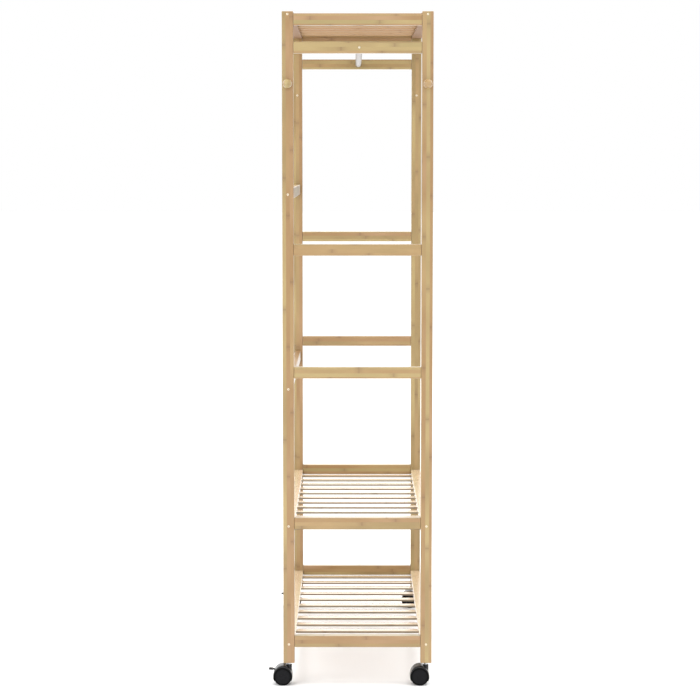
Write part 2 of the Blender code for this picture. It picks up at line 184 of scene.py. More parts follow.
frameBamboo = {
    "strip": 8.34 * mm,  # width of one glued strip
    "jointLine": 0.16 * mm,
    "knuckleSpacing": 0.29,  # between the nodes of one stem
    "knuckleWidth": 3.4 * mm,
    "knuckleGlow": 16.0 * mm,
    "fibre": 0.55 * mm,
    "fibreLength": 26 * mm,
    "driftLength": 0.20,
    "toneShare": 0.80,  # of the strip's own hash in its tone
    "driftShare": 0.80,
    "toneOffset": 0.30,
    "dashScale": 1.7,  # against the fibres
    "dashRange": (0.60, 0.74),
    "waver": 2.0 * mm,  # how far a knuckle's line wanders
    "waverAcross": 900,
    "waverAlong": 30,
    "tones": [
        (0.00, screen(148, 130, 80)),
        (0.25, screen(162, 140, 90)),
        (0.45, screen(140, 116, 68)),
        (0.62, screen(158, 129, 82)),
        (0.80, screen(144, 110, 64)),
        (1.00, screen(162, 128, 90)),
    ],
    "dark": screen(104, 72, 38),
    "fibreLevel": 0.42,  # the fibre noise that darkens nothing
    "marks": {"fibre": 0.42, "dash": 0.18, "knuckle": 0.24, "glow": 0.26, "seam": 0.20},  # how dark each is
    "roughness": 0.34,
    "lacquer": 0.8,
    "relief": 0.10,
    "reliefDepth": 0.25 * mm,
    "gloss": 0.28,  # roughness of the lacquer
}
# Painted light: paler tones than the frame's, for the slat and shelf-rail tops that the top light falls on,
# under a full lacquer.
paintedLightBamboo = dict(
    frameBamboo,
    tones=[(0.0, screen(200, 182, 146)), (0.5, screen(204, 180, 146)), (1.0, screen(208, 182, 152))],
    dark=screen(140, 108, 72),
    roughness=0.26,
    lacquer=1.0,
    relief=0.01,
    gloss=0.22,
)
# Painted shade: a darker, greyer tone for the slats' long edges, where shade falls between the slats.
slatEdgePaintedShadeBamboo = dict(
    frameBamboo,
    tones=[(0.0, screen(126, 116, 96)), (0.5, screen(132, 118, 98)), (1.0, screen(130, 112, 94))],
    dark=screen(96, 78, 56),
    roughness=0.55,
    lacquer=0.1,
)
rawBamboo = dict(
    frameBamboo,
    tones=[(0.0, screen(154, 124, 86)), (0.5, screen(160, 127, 90)), (1.0, screen(154, 119, 86))],
    dark=screen(128, 96, 62),
    roughness=0.6,
    lacquer=0.05,
)
# Painted shade: a darker tone for the top rails' inner faces and undersides, where shade falls under the top
# shelf.
shadedBamboo = dict(
    rawBamboo,
    tones=[(0.0, screen(128, 98, 66)), (0.5, screen(132, 100, 70)), (1.0, screen(128, 94, 66))],
    dark=screen(104, 76, 50),
)


# Strips glued side by side. The strip's number is floor((across - start) / width), and hashes of the
# number and of the board's own cell give its tone and where its knuckles lie. Fibres are noise drawn
# out along the grain; a knuckle is a dark band across one strip that fades into a broad glow round it.
def bambooFinish(name, look, along, across, start, cell):
    finish = Finish(name, Coat_Weight=look["lacquer"], Coat_Roughness=look["gloss"], IOR=1.5)
    spot = finish.place()
    lengthwise = spot[along]
    sideways = spot[across]
    depth = spot[3 - along - across]
    ratio = (sideways - start) / look["strip"]
    board = (depth / cell).floor()
    strip = finish.vector(ratio.floor(), board, 0.0)
    tone = finish.hashed(strip)
    shift = finish.hashed(finish.vector(ratio.floor(), board, 7.0))

    driftSpot = finish.vector(ratio.floor() * 3.7, board * 5.3, lengthwise / look["driftLength"])
    drift = finish.noise(driftSpot, detail=1.0)
    hue = look["toneShare"] * tone + look["driftShare"] * drift - look["toneOffset"]
    ramp = finish.node("ShaderNodeValToRGB", {"stops": look["tones"]}, (hue,))

    fine = look["fibre"]
    fibreSpot = finish.vector(sideways / fine, depth / fine, lengthwise / look["fibreLength"])
    fibre = finish.noise(fibreSpot, detail=3.0, roughness=0.6)
    dash = finish.noise(fibreSpot, scale=look["dashScale"], detail=1.0).step(*look["dashRange"])

    fine, coarse = look["waverAcross"], look["waverAlong"]
    waver = finish.noise(finish.vector(sideways * fine, depth * fine, lengthwise * coarse), detail=1.0)
    turn = (lengthwise + look["waver"] * waver) / look["knuckleSpacing"] + 7.3 * shift
    away = abs(turn.fraction() - 0.5) * look["knuckleSpacing"]
    knuckle = away.step(look["knuckleWidth"], 0.0)
    glow = away.step(look["knuckleGlow"], 0.0)
    seam = abs(ratio.fraction() - 0.5).step(0.5 - look["jointLine"] / look["strip"], 0.5)

    marks = look["marks"]
    shade = marks["fibre"] * (fibre - look["fibreLevel"]) + marks["dash"] * dash + marks["knuckle"] * knuckle
    shade = shade + marks["glow"] * glow + marks["seam"] * seam
    colour = finish.blend(shade, ramp, look["dark"])
    height = fibre - 0.5 * dash - 0.9 * seam + 0.8 * knuckle
    return finish.set(
        Base_Color=colour,
        Roughness=look["roughness"] + 0.16 * (fibre - 0.5) + 0.08 * knuckle,
        Normal=finish.bump(height, look["relief"], look["reliefDepth"]),
    )


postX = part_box("post_back_left")[0].x
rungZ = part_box("left_lower_shelf_rung")[0].z
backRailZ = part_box("back_rail_lower")[0].z
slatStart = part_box("top_shelf_slats")[0].y
pegLook = dict(frameBamboo, strip=8 * mm, knuckleSpacing=0.9)
alongX, alongY, alongZ = 0, 1, 2
endCell, railCell = 0.2, 0.1  # boards that lie in one cell of this depth share their pattern
postBamboo = bambooFinish("bamboo_upright", frameBamboo, alongZ, alongX, postX, endCell)
rungBamboo = bambooFinish("bamboo_crosswise", frameBamboo, alongX, alongZ, rungZ, endCell)
railBamboo = bambooFinish("bamboo_lengthwise", frameBamboo, alongY, alongX, postX, railCell)
backRailBamboo = bambooFinish("bamboo_back_rail", frameBamboo, alongY, alongZ, backRailZ, railCell)
pegBamboo = bambooFinish("bamboo_turned", pegLook, alongY, alongX, 0, endCell)
# Painted light: the upper and lower shelves' slat tops take the paler tones.
shelfPaintedLightBamboo = bambooFinish("bamboo_slat", paintedLightBamboo, alongX, alongY, slatStart, railCell)
topShelfBamboo = bambooFinish("bamboo_top_slat", frameBamboo, alongX, alongY, slatStart, railCell)
# Painted shade: the upper and lower shelves' slat edges take the darker tone.
shelfEdgePaintedShadeBamboo = bambooFinish("bamboo_slat_edge_painted_shade", slatEdgePaintedShadeBamboo, alongX, alongY, slatStart, railCell)
shelfUnderBamboo = bambooFinish("bamboo_slat_underside", rawBamboo, alongX, alongY, slatStart, railCell)
# Painted light: the shelf rails' tops and inner faces take the paler tones.
railPaintedLightBamboo = bambooFinish("bamboo_rail_painted_light", paintedLightBamboo, alongY, alongX, postX, railCell)
# Painted shade on the top rails' inner faces and undersides.
railPaintedShadeBamboo = bambooFinish("bamboo_rail_painted_shade", shadedBamboo, alongY, alongZ, rungZ, railCell)
print("bamboo finishes made")


metalSet = {
    "cloudScale": 60.0,
    "dullShare": 0.82,  # how bright the dull places are
    "drawnRoughness": 0.14,
    "cloudRoughness": 0.10,
    "relief": 0.08,
    "reliefDepth": 0.05 * mm,
}


# Metal: fine noise, drawn out where its scales differ, varies the roughness and the tone, over slow clouds.
def metalFinish(name, colour, roughness, lines):
    finish = Finish(name, Metallic=1.0)
    x, y, z = finish.place()
    drawn = finish.noise(finish.vector(x * lines[0], y * lines[1], z * lines[2]), detail=3.0)
    cloud = finish.noise(finish.vector(x, y, z), scale=metalSet["cloudScale"], detail=3.0)
    dull = tuple(metalSet["dullShare"] * c for c in colour)
    drawnShare, cloudShare = metalSet["drawnRoughness"], metalSet["cloudRoughness"]
    return finish.set(
        Base_Color=finish.blend((drawn + cloud) * 0.5, colour, dull),
        Roughness=roughness + drawnShare * (drawn - 0.5) + cloudShare * (cloud - 0.5),
        Normal=finish.bump(drawn, metalSet["relief"], metalSet["reliefDepth"]),
    )


mouldedSet = {
    "cloudScale": 140.0,
    "patchRange": (0.42, 0.80),
    "patchTone": 0.7,
    "grainTone": 0.12,
    "patchRoughness": 0.18,
    "grainRoughness": 0.08,
    "relief": 0.15,
}


# Moulded plastic: a fine grain in the bump, and clouds of handling dust in the tone and roughness.
def mouldedFinish(name, colour, dust, roughness, grain, grainDepth, **fixed):
    finish = Finish(name, **fixed)
    x, y, z = finish.place()
    spot = finish.vector(x, y, z)
    eroded = finish.noise(spot, scale=1 / grain, detail=2.0, roughness=0.6)
    cloud = finish.noise(spot, scale=mouldedSet["cloudScale"], detail=4.0, roughness=0.6)
    patch = cloud.step(*mouldedSet["patchRange"])
    patchShare, grainShare = mouldedSet["patchRoughness"], mouldedSet["grainRoughness"]
    return finish.set(
        Base_Color=finish.blend(
            mouldedSet["patchTone"] * patch + mouldedSet["grainTone"] * eroded, colour, dust
        ),
        Roughness=roughness + patchShare * patch + grainShare * (eroded - 0.5),
        Normal=finish.bump(eroded, mouldedSet["relief"], grainDepth),
    )


rodMetal = metalFinish("satin_rod", screen(158, 152, 148), 0.30, (2200, 18, 2200))
plainSteel = metalFinish("zinc_steel", screen(205, 206, 206), 0.28, (900, 900, 900))
screwSteel = metalFinish("nickel_screw", screen(238, 228, 206), 0.42, (900, 900, 900))
hoodNylon = mouldedFinish(
    "hood_nylon", screen(8, 8, 9), screen(24, 24, 26), 0.18, 0.35 * mm, 0.03 * mm, Specular_IOR_Level=0.36
)
leverNylon = mouldedFinish(
    "lever_nylon", screen(8, 8, 9), screen(20, 20, 22), 0.5, 0.35 * mm, 0.03 * mm, Specular_IOR_Level=0.12
)
tyreNylon = mouldedFinish(
    "tyre_nylon", screen(6, 6, 7), screen(18, 18, 18), 0.46, 0.5 * mm, 0.04 * mm, Specular_IOR_Level=0.08
)
discNylon = mouldedFinish(
    "disc_nylon", screen(20, 20, 22), screen(32, 32, 34), 0.58, 0.4 * mm, 0.06 * mm, Specular_IOR_Level=0.1
)
plugPlastic = mouldedFinish(
    "plug_plastic", screen(120, 120, 122), screen(150, 150, 150), 0.5, 0.4 * mm, 0.03 * mm
)
print("metal and plastic finishes made")


# Corner numbers of the quads of a grid with these rows and columns, whose last column meets the first.
def gridFaces(rows, columns):
    row, column = np.meshgrid(np.arange(rows - 1), np.arange(columns), indexing="ij")
    beyond = (column + 1) % columns
    here, above = row * columns, (row + 1) * columns
    corners = [here + column, here + beyond, above + beyond, above + column]
    return np.stack(corners, axis=-1).reshape(-1, 4)


meshSet = {"mergeWithin": 0.0005 * mm, "sharpFrom": 32}  # degrees between faces that meet in a sharp edge


# Joins the shells into one mesh. Each shell is (points, faces, material number), with closed ends.
def buildPiece(name, shells, materials):
    points, faces, numbers, count = [], [], [], 0
    for shellPoints, shellFaces, number in shells:
        points.append(np.asarray(shellPoints).reshape(-1, 3))
        faces += [[corner + count for corner in face] for face in shellFaces]
        numbers += [number] * len(shellFaces)
        count += len(points[-1])
    mesh = bpy.data.meshes.new(name)
    mesh.from_pydata(np.concatenate(points).tolist(), [], faces)
    mesh.polygons.foreach_set("material_index", np.array(numbers, np.int32))
    for material in materials:
        mesh.materials.append(material)
    piece = bpy.data.objects.new(name, mesh)
    bpy.context.scene.collection.objects.link(piece)
    tidyMesh(mesh, meshSet["sharpFrom"])
    return piece


# Merges the points that meet at poles and seams, turns every face outwards and smooths round shapes.
def tidyMesh(mesh, sharp):
    work = bmesh.new()
    work.from_mesh(mesh)
    bmesh.ops.remove_doubles(work, verts=work.verts, dist=meshSet["mergeWithin"])
    bmesh.ops.recalc_face_normals(work, faces=work.faces)
    work.to_mesh(mesh)
    work.free()
    mesh.polygons.foreach_set("use_smooth", np.ones(len(mesh.polygons), bool))
    mesh.set_sharp_from_angle(angle=math.radians(sharp))


# A shell from closed sections, one row each, with a flat face over its first and its last row.
def loft(sections):
    rows, columns = sections.shape[:2]
    faces = gridFaces(rows, columns).tolist()
    last = (rows - 1) * columns
    faces.append(list(range(columns))[::-1])
    faces.append(list(range(last, last + columns)))
    return sections.reshape(-1, 3), faces, 0


# A line through corners, each softened to a curve that starts and ends this far from it:
# (1-t)^2 start + 2t(1-t) corner + t^2 end.
def softened(corners, reach, steps=5):
    corners = np.asarray(corners, float)
    reach = np.broadcast_to(reach, len(corners))
    line = [corners[:1]]
    t = np.linspace(0, 1, steps)[:, None]
    for before, here, beyond, size in zip(corners, corners[1:], corners[2:], reach[1:]):
        back, on = before - here, beyond - here
        start = here + back / np.linalg.norm(back) * min(size, np.linalg.norm(back) / 2)
        end = here + on / np.linalg.norm(on) * min(size, np.linalg.norm(on) / 2)
        line.append((1 - t) ** 2 * start + 2 * t * (1 - t) * here + t**2 * end)
    line.append(corners[-1:])
    return np.concatenate(line)


# A profile of radius and height turned about an axis through centre: the point at angle a is
# centre + radius (cos a, sin a) across the axis + height along it. Both ends of the profile are
# on the axis, or the profile is closed as a ring.
def turned(profile, centre, axis="Z", way=1, steps=64, ring=False, number=0, bulge=None):
    profile = np.asarray(profile, float)
    angle = np.linspace(0, 2 * math.pi, steps, endpoint=False)
    radius = np.repeat(profile[:, :1], steps, axis=1)
    height = np.repeat(profile[:, 1:], steps, axis=1)
    if bulge is not None:
        radius, height = bulge(radius, height, angle[None, :])
    u, v = radius * np.cos(angle), radius * np.sin(angle)
    order = {"Y": (u, way * height, v), "Z": (u, v, way * height)}[axis]
    points = np.stack(order, axis=-1) + np.asarray(centre)
    faces = gridFaces(len(profile), steps).tolist()
    if ring:
        last = (len(profile) - 1) * steps
        faces += [[last + i, last + (i + 1) % steps, (i + 1) % steps, i] for i in range(steps)]
    return points.reshape(-1, 3), faces, number


def middle(node):
    low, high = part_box(node)
    return (low + high) / 2


def finishPiece(piece, body, slot, *stoodFor):
    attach(piece, body)
    if stoodFor:
        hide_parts(*stoodFor)
    return piece


def dressNode(name, *materials):
    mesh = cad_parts[name].data
    mesh.materials.clear()
    for material in materials:
        mesh.materials.append(material)
    return mesh


def normalsOf(mesh):
    normals = np.empty(len(mesh.polygons) * 3, np.float32)
    mesh.polygons.foreach_get("normal", normals)
    return normals.reshape(-1, 3).T


# A shelf rail takes the slats' top finish, a paler tone of painted light under a full lacquer, on its top
# and inner face. A top rail is unlacquered and painted darker, as painted shade, inside and below.
def dressRail(name, way):
    mesh = dressNode(name, railBamboo, railPaintedLightBamboo, railPaintedShadeBamboo)
    x, y, z = normalsOf(mesh)
    inner = x * way < -0.7
    if name.startswith("top_rail"):
        finish = np.where(inner | (z < -0.7), 2, 0)
    else:
        finish = np.where((z > 0.7) | inner, 1, 0)
    mesh.polygons.foreach_set("material_index", finish.astype(np.int32))


rungKinds = ("apron", "rod_rung", "upper_tie", "lower_tie", "upper_shelf_rung", "lower_shelf_rung")
sideRails = ("top_rail", "upper_shelf_rail", "lower_shelf_rail")
for end in ends:
    for kind in rungKinds:
        dressNode(f"{end}_{kind}", rungBamboo)
    for side in sides:
        dressNode(f"post_{side}_{end}", postBamboo)
    dressNode(f"rod_plug_{end}", plugPlastic)
    dressNode(f"brake_pin_{end}", plainSteel)
for side in sides:
    for rail in sideRails:
        dressRail(f"{rail}_{side}", sides[side])
for level in ("upper", "lower"):
    dressNode(f"back_rail_{level}", backRailBamboo)
for caster in casters:
    dressNode(f"{caster}_axle", plainSteel)
print("frame boards dressed")


slatSet = {
    "count": 12,
    "width": 25 * mm,
    "corner": 0.7 * mm,
    "crown": 0.12 * mm,
    "wander": 0.25 * mm,  # how far an inner slat lies off its even place
    "cornerSteps": 4,
    "stations": 17,
}


# A board along X with a rounded rectangle for its section: each corner is a centre plus
# corner (cos a, sin a). Near its ends both half sizes shrink as
# corner - sqrt(corner^2 - (corner - distance)^2), and its top has a crown.
def slatShell(low, high, look):
    corner, steps = look["corner"], look["cornerSteps"]
    angle = np.concatenate([np.linspace(q, q + 1, steps) for q in range(4)]) * math.pi / 2
    quarter = (np.repeat(np.arange(4), steps) + 0.5) * math.pi / 2
    size = (np.array(high) - np.array(low)) / 2
    centre = (np.array(high) + np.array(low)) / 2
    rounding = corner * (1 - np.cos(np.linspace(0, math.pi / 2, steps)))
    inner = np.linspace(corner, 2 * size[0] - corner, look["stations"])[1:-1]
    distance = np.concatenate([rounding, inner, 2 * size[0] - rounding[::-1]])
    fromEnd = np.minimum(distance, 2 * size[0] - distance)
    shrink = corner - np.sqrt(corner**2 - np.maximum(0, corner - fromEnd) ** 2)
    shrink = np.minimum(shrink, 0.9 * corner)[:, None]
    y = np.sign(np.cos(quarter)) * (size[1] - corner) + (corner - shrink) * np.cos(angle)
    z = np.sign(np.sin(quarter)) * (size[2] - corner) + (corner - shrink) * np.sin(angle)
    z = z - look["crown"] * (z > 0) * (y / size[1]) ** 2
    x = np.repeat((distance - size[0])[:, None], len(angle), axis=1)
    return loft(np.stack([x, y, z], axis=-1) + centre)


# Faces whose normal is nearer to Y than to Z are the slats' long edges and take the second finish, which on
# the upper and lower shelves is a darker tone of painted shade; the underside takes the third, and the rest,
# the top, the first.
def markFaces(mesh):
    x, y, z = normalsOf(mesh)
    finish = np.where(np.abs(y) > np.abs(z), 1, np.where(z < 0, 2, 0))
    mesh.polygons.foreach_set("material_index", finish.astype(np.int32))


def buildSlats():
    seeded = np.random.default_rng(12)
    for shelf in ("top_shelf", "upper_shelf", "lower_shelf"):
        low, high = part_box(f"{shelf}_slats")
        pitch = (high.y - low.y - slatSet["width"]) / (slatSet["count"] - 1)
        # Upper and lower shelves: painted light on the tops, painted shade on the edges.
        finishes = [shelfPaintedLightBamboo, shelfEdgePaintedShadeBamboo, shelfUnderBamboo]
        if shelf == "top_shelf":
            finishes = [topShelfBamboo, shelfUnderBamboo, shelfUnderBamboo]
        for i in range(slatSet["count"]):
            inner = 0 < i < slatSet["count"] - 1
            start = low.y + i * pitch + (seeded.uniform(-1, 1) * slatSet["wander"] if inner else 0)
            shell = slatShell((low.x, start, low.z), (high.x, start + slatSet["width"], high.z), slatSet)
            slat = buildPiece(f"{shelf}_slat_{i + 1:02d}", [shell], finishes)
            markFaces(slat.data)
            finishPiece(slat, "frame", "slat_bamboo", f"{shelf}_slats")
    print("slats made:", 3 * slatSet["count"])


buildSlats()


rodSet = {"wall": 1.2 * mm, "edge": 0.4 * mm}


def buildRod():
    low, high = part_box("hanging_rod")
    half, outer = (high.y - low.y) / 2, (high.z - low.z) / 2
    inner = outer - rodSet["wall"]
    ring = [(inner, 0), (inner, half), (outer, half), (outer, -half), (inner, -half), (inner, 0)]
    profile = softened(ring, rodSet["edge"])
    shell = turned(profile[:-1], middle("hanging_rod"), "Y", steps=72, ring=True)
    finishPiece(buildPiece("hanging_rod_tube", [shell], [rodMetal]), "frame", "rod_metal", "hanging_rod")
    print("rod made")


buildRod()

pegSet = {
    "neck": 5.5 * mm,
    "fillet": 2.2 * mm,
    "seat": 0.4 * mm,
    "tipShare": 0.96,  # how much of the way to its tip the ball is round
    "neckAngle": 0.16,
    "steps": 40,
    "stepsRound": 56,
}


# A mushroom knob: a straight neck, a softened join and a ball that is a little flat at its tip.
def buildPegs():
    for end, way in ends.items():
        for side in sides:
            node = f"peg_{side}_{end}"
            low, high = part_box(node)
            reach, ball = high.y - low.y, (high.z - low.z) / 2
            inner = low.y if way > 0 else high.y
            centre = reach - ball
            join = math.asin(pegSet["neck"] / ball)
            tip = math.pi / 2 * pegSet["tipShare"]
            angle = np.linspace(tip, join - math.pi / 2 + pegSet["neckAngle"], pegSet["steps"])
            curve = np.stack([ball * np.cos(angle), centre + ball * np.sin(angle)], axis=1)
            curve[:, 1] = np.minimum(curve[:, 1], reach)
            radius, seat = pegSet["neck"], pegSet["seat"]
            neckStart = centre - ball * math.cos(join)
            corners = [curve[-1], (radius, neckStart), (radius, seat), (radius - seat, 0)]
            neck = softened(corners, [0, pegSet["fillet"], seat, 0])
            profile = np.concatenate([[(0, reach)], curve, neck[1:], [(0, 0)]])
            spot = ((low.x + high.x) / 2, inner, (low.z + high.z) / 2)
            shell = turned(profile, spot, "Y", way, pegSet["stepsRound"])
            peg = buildPiece(f"knob_{side}_{end}", [shell], [pegBamboo])
            finishPiece(peg, "frame", "bamboo", node)
    print("pegs made: 4")


buildPegs()

screwSet = {
    "radius": 2.5 * mm,
    "proud": 0.7 * mm,
    "socket": 1.15 * mm,  # middle of a flat of the hexagon to the axis
    "socketDepth": 0.9 * mm,
    "sunk": 1.6 * mm,
    "bevel": 0.06 * mm,  # depth of the socket's bevel
    "bevelShare": 1.25,  # its rim, in sockets
    "domeFrom": 0.35,  # the dome's inner radius and the shank's, in radii
    "shank": 0.55,
    "steps": 48,
}


# A button head: down its dome from the axis' socket, whose wall follows a hexagon, radius flat / cos(angle
# from the middle of the flat), and back to the axis behind the board's face.
def screwHead(spot, way, look):
    socket, radius = look["socket"], look["radius"]
    floor, brim = look["proud"] - look["socketDepth"], look["proud"]
    rim = socket * look["bevelShare"]
    profile = [(0, floor), (socket, floor), (socket, brim - look["bevel"]), (rim, brim)]
    dome = np.linspace(look["domeFrom"], 1, 9)
    profile += [(radius * share, brim * math.sqrt(1 - share**4)) for share in dome]
    profile += [(radius, 0), (radius * look["shank"], -look["sunk"]), (0, -look["sunk"])]

    def hexagon(radii, heights, angle):
        turn = (angle + math.pi / 6) % (math.pi / 3) - math.pi / 6
        return np.where((radii > 0) & (radii < socket * 1.1), radii / np.cos(turn), radii), heights

    return turned(profile, spot, "Y", way, look["steps"], bulge=hexagon)


# Heads where each rail's end meets a post, on the outer faces, and behind each peg on the inner ones.
def buildScrews():
    for end, way in ends.items():
        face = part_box(f"post_back_{end}")[1 if way > 0 else 0].y
        rails = [f"{rail}_{side}" for rail in sideRails for side in sides]
        rails += [f"back_rail_{level}" for level in ("upper", "lower")]
        spots = [middle(rail) for rail in rails]
        shells = [screwHead((spot.x, face, spot.z), way, screwSet) for spot in spots]
        heads = buildPiece(f"rail_screws_{end}", shells, [screwSteel])
        finishPiece(heads, "frame", "steel")

        rod = middle(f"rod_screw_{end}")
        shells = [screwHead((rod.x, face, rod.z), way, screwSet)]
        head = buildPiece(f"rod_screw_head_{end}", shells, [screwSteel])
        finishPiece(head, "frame", "steel", f"rod_screw_{end}")

        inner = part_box(f"post_back_{end}")[0 if way > 0 else 1].y
        pegs = [middle(f"peg_{side}_{end}") for side in sides]
        shells = [screwHead((peg.x, inner, peg.z), -way, screwSet) for peg in pegs]
        finishPiece(buildPiece(f"peg_screws_{end}", shells, [screwSteel]), "frame", "steel")
    print("screws made: 22")


buildScrews()


casterSet = {
    "wheelGap": 0.5 * mm,  # rim to hood
    "crownPower": 3.2,  # how square the hood's outer side is across
    "innerPower": 14.0,
    "webHalf": 6.5 * mm,
    "webInset": 0.65 * mm,
    "webRound": 0.6 * mm,
    "axleRadius": 3.3 * mm,
    "stemRadius": 4.0 * mm,
    "stemGap": 0.3 * mm,
    "housing": 6.2 * mm,
    "housingRound": 1.2 * mm,
    "socketDepth": 20.3 * mm,
    "slotHalf": 3.3 * mm,
    "slotRoom": 0.6 * mm,
    "slotReach": 30 * mm,
    "pinRadius": 1.55 * mm,
    "arcSteps": 72,
    "roundSteps": 36,
}


# The hood's outer line round the wheel axis at angle a: (side cos a, crown sin a), with crown used above
# the axis and side below it.
def hoodLine(angle, side, crown):
    return side * np.cos(angle), np.where(np.sin(angle) > 0, crown, side) * np.sin(angle)


# The arch over both wheels. Its section at each angle is a superellipse, |y|^p + |h|^p = 1, from the inner
# circle (h = -1) to the outer line (h = 1), squarer on the wheels' side than on the outer one.
def hoodArch(axis, side, crown, inner, halfWidth, dip, look):
    angle = np.linspace(-dip, math.pi + dip, look["arcSteps"])[:, None]
    t = np.linspace(0, 2 * math.pi, look["roundSteps"], endpoint=False)[None, :]
    power = np.where(np.sin(t) >= 0, look["crownPower"], look["innerPower"])
    across = np.sign(np.cos(t)) * np.abs(np.cos(t)) ** (2 / power)
    share = 0.5 + 0.5 * np.sign(np.sin(t)) * np.abs(np.sin(t)) ** (2 / power)
    outerX, outerZ = hoodLine(angle, side, crown)
    innerX, innerZ = inner * np.cos(angle), inner * np.sin(angle)
    x = innerX + (outerX - innerX) * share
    z = innerZ + (outerZ - innerZ) * share
    y = np.broadcast_to(halfWidth * across, x.shape)
    return loft(np.stack([x, y, z], axis=-1) + np.asarray(axis))


# The wall between the wheels: the hood's line, drawn in a little and carried across Y with round edges.
def hoodWeb(axis, side, crown, dip, look):
    inset = look["webInset"]
    angle = np.linspace(-dip, math.pi + dip, look["arcSteps"])
    turn = np.linspace(0, math.pi / 2, 5)
    drawn = look["webRound"] * (1 - np.sin(turn))
    place = look["webHalf"] - look["webRound"] * (1 - np.cos(turn))
    drawn = np.concatenate([drawn, drawn[::-1]])
    place = np.concatenate([-place, place[::-1]])
    rows = []
    for shrink, y in zip(drawn, place):
        u, v = hoodLine(angle, side - inset - shrink, crown - inset - shrink)
        rows.append(np.stack([u, np.full_like(u, y), v], axis=-1))
    return loft(np.array(rows) + np.asarray(axis))


def cutWith(piece, helper, operation):
    modifier = piece.modifiers.new(operation.title(), "BOOLEAN")
    modifier.operation = operation
    modifier.object = helper
    bpy.context.view_layer.update()
    graph = bpy.context.evaluated_depsgraph_get()
    mesh = bpy.data.meshes.new_from_object(piece.evaluated_get(graph))
    piece.modifiers.clear()
    old, piece.data = piece.data, mesh
    bpy.data.meshes.remove(old)
    bpy.data.objects.remove(helper)


def plainShell(profile, centre, axis, steps=40):
    return buildPiece("cutter", [turned(profile, centre, axis, steps=steps)], [hoodNylon])


def boxShell(low, high):
    low, high = np.asarray(low), np.asarray(high)
    square = np.array([(0, 0), (1, 0), (1, 1), (0, 1)])
    rows = np.array([[(a, b, c) for a, b in square] for c in (0, 1)], float)
    return buildPiece("cutter", [loft(low + rows * (high - low))], [hoodNylon])


def cylinderProfile(radius, half):
    return [(0, half), (radius, half), (radius, -half), (0, -half)]


def buildHood(caster, braked, look):
    low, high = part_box(f"{caster}_hood")
    wheel = middle(f"{caster}_wheel_left")
    stem = middle(f"{caster}_stem")
    wheelLow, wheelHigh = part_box(f"{caster}_wheel_left")
    wheelRadius = (wheelHigh.z - wheelLow.z) / 2
    inner = wheelRadius + look["wheelGap"]
    side, crown = wheel.x - low.x, high.z - wheel.z
    dip = math.asin((wheel.z - low.z) / inner)
    halfWidth = (high.y - low.y) / 2
    axis = (wheel.x, stem.y, wheel.z)
    arch = hoodArch(axis, side, crown, inner, halfWidth, dip, look)
    hood = buildPiece(f"{caster}_shell", [arch], [hoodNylon])
    cutWith(hood, buildPiece("web", [hoodWeb(axis, side, crown, dip, look)], [hoodNylon]), "UNION")
    top = high.z
    radius = look["housing"]
    corners = [(0, top), (radius, top), (radius, wheel.z), (0, wheel.z)]
    profile = softened(corners, look["housingRound"])
    cutWith(hood, plainShell(profile, (stem.x, stem.y, 0), "Z", 48), "UNION")
    socket = cylinderProfile(look["stemRadius"] + look["stemGap"], look["socketDepth"])
    cutWith(hood, plainShell(socket, (stem.x, stem.y, top), "Z"), "DIFFERENCE")
    bore = cylinderProfile(look["axleRadius"], 2 * look["webHalf"])
    cutWith(hood, plainShell(bore, axis, "Y"), "DIFFERENCE")
    if braked:
        pin = middle(caster.replace("caster_back", "brake_pin"))
        half = look["slotHalf"]
        room = half + look["slotRoom"]
        low = (pin.x + room - look["slotReach"], pin.y - half, pin.z - room)
        high = (pin.x + room, pin.y + half, pin.z + room)
        cutWith(hood, boxShell(low, high), "DIFFERENCE")
        bore = cylinderProfile(look["pinRadius"], 2 * look["webHalf"])
        cutWith(hood, plainShell(bore, pin, "Y", 24), "DIFFERENCE")
    tidyMesh(hood.data, meshSet["sharpFrom"])
    finishPiece(hood, caster, "black_nylon", f"{caster}_hood")


wheelSet = {
    "tyre": 4.2 * mm,  # radial depth of the black ring
    "chamfer": 1.1 * mm,
    "dish": 0.7 * mm,  # the disc behind the ring's face
    "cone": 0.35 * mm,
    "hub": 5.2 * mm,
    "hubProud": 0.45 * mm,
    "cap": 2.6 * mm,
    "bore": 3.3 * mm,
    "boreDepth": 8.5 * mm,
    "gate": 0.16 * mm,  # depth of the mark the mould's gate leaves
    "gateSize": 1.1 * mm,
    "steps": 96,
}


